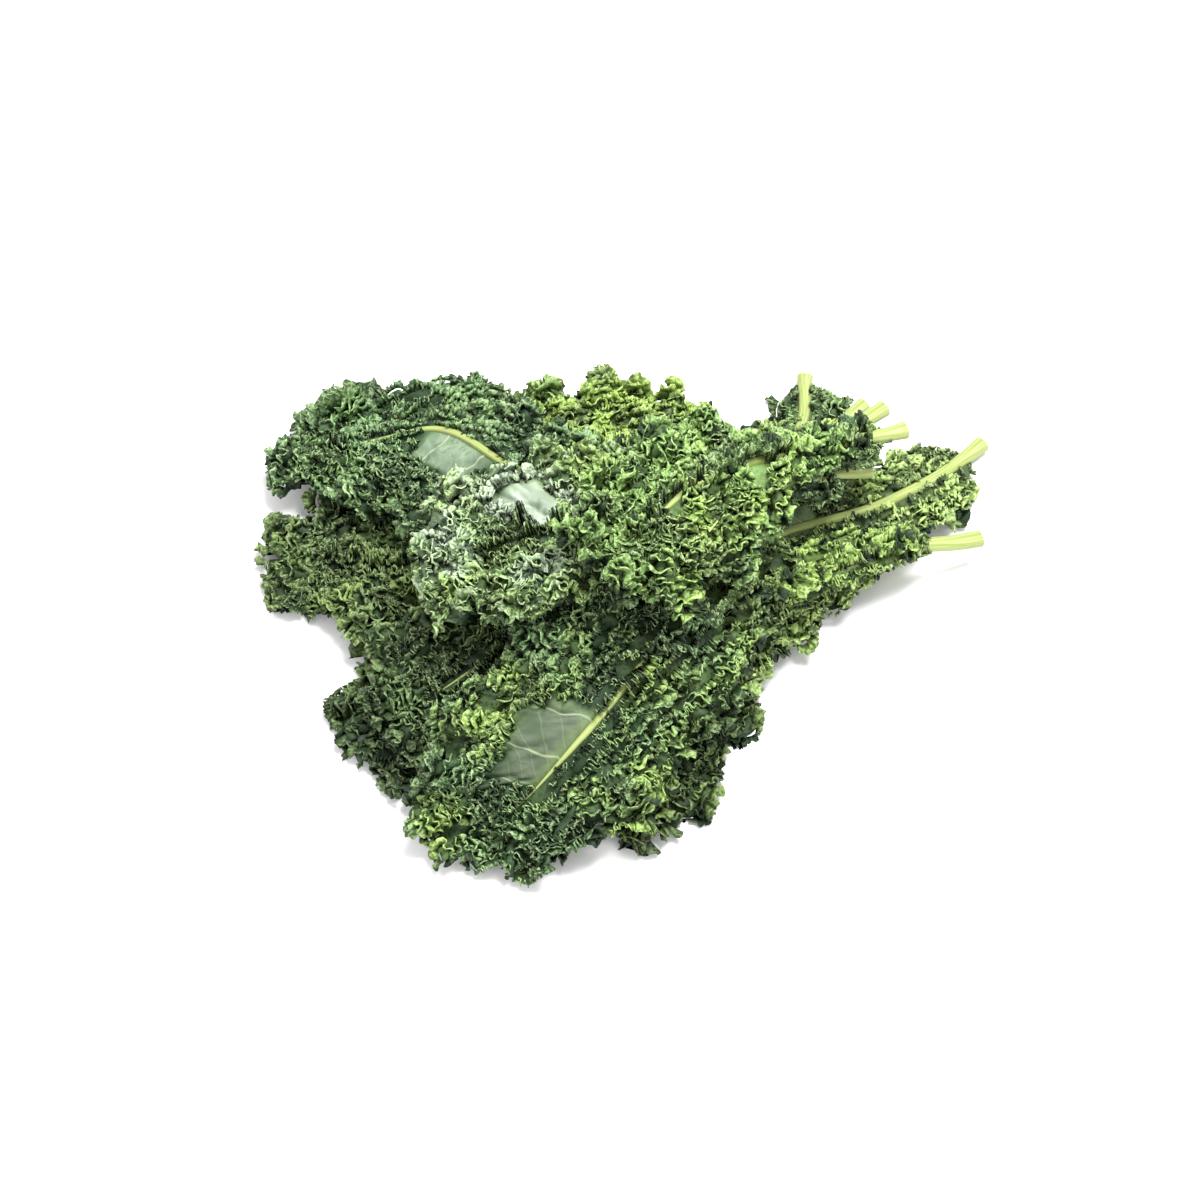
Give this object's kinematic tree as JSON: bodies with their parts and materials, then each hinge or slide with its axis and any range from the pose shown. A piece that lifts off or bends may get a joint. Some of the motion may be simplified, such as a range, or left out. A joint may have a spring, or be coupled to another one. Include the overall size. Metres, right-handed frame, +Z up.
{
  "type": "curly kale bunch",
  "caption": "Loose bunch of curly kale lying down: pale cut stalks together at one side, and ruffled green blades fanned out over one another at the other.",
  "frame": {"origin": "middle of the bunch's footprint, on the surface that it lies on", "axes": "+X along the bunch towards the cut ends of the stalks, +Y across it, +Z up from the surface"},
  "size_m": [0.428, 0.3412, 0.1275],
  "materials": {
    "blade": "leaf, mid to dark green with a matt waxy bloom, yellow-green along its curled edges and grey-green beside the midrib",
    "stalk": "smooth fresh stalk, pale yellow-green with a soft sheen"
  },
  "bodies": {
    "root": {"leaf_01_stalk": "stalk", "leaf_01_blade": "blade", "leaf_02_stalk": "stalk", "leaf_02_blade": "blade", "leaf_03_stalk": "stalk", "leaf_03_blade": "blade", "leaf_04_stalk": "stalk", "leaf_04_blade": "blade", "leaf_05_stalk": "stalk", "leaf_05_blade": "blade", "leaf_06_stalk": "stalk", "leaf_06_blade": "blade", "leaf_07_stalk": "stalk", "leaf_07_blade": "blade", "leaf_08_stalk": "stalk", "leaf_08_blade": "blade", "leaf_09_stalk": "stalk", "leaf_09_blade": "blade", "leaf_10_stalk": "stalk", "leaf_10_blade": "blade", "leaf_11_stalk": "stalk", "leaf_11_blade": "blade"}
  },
  "joints": []
}
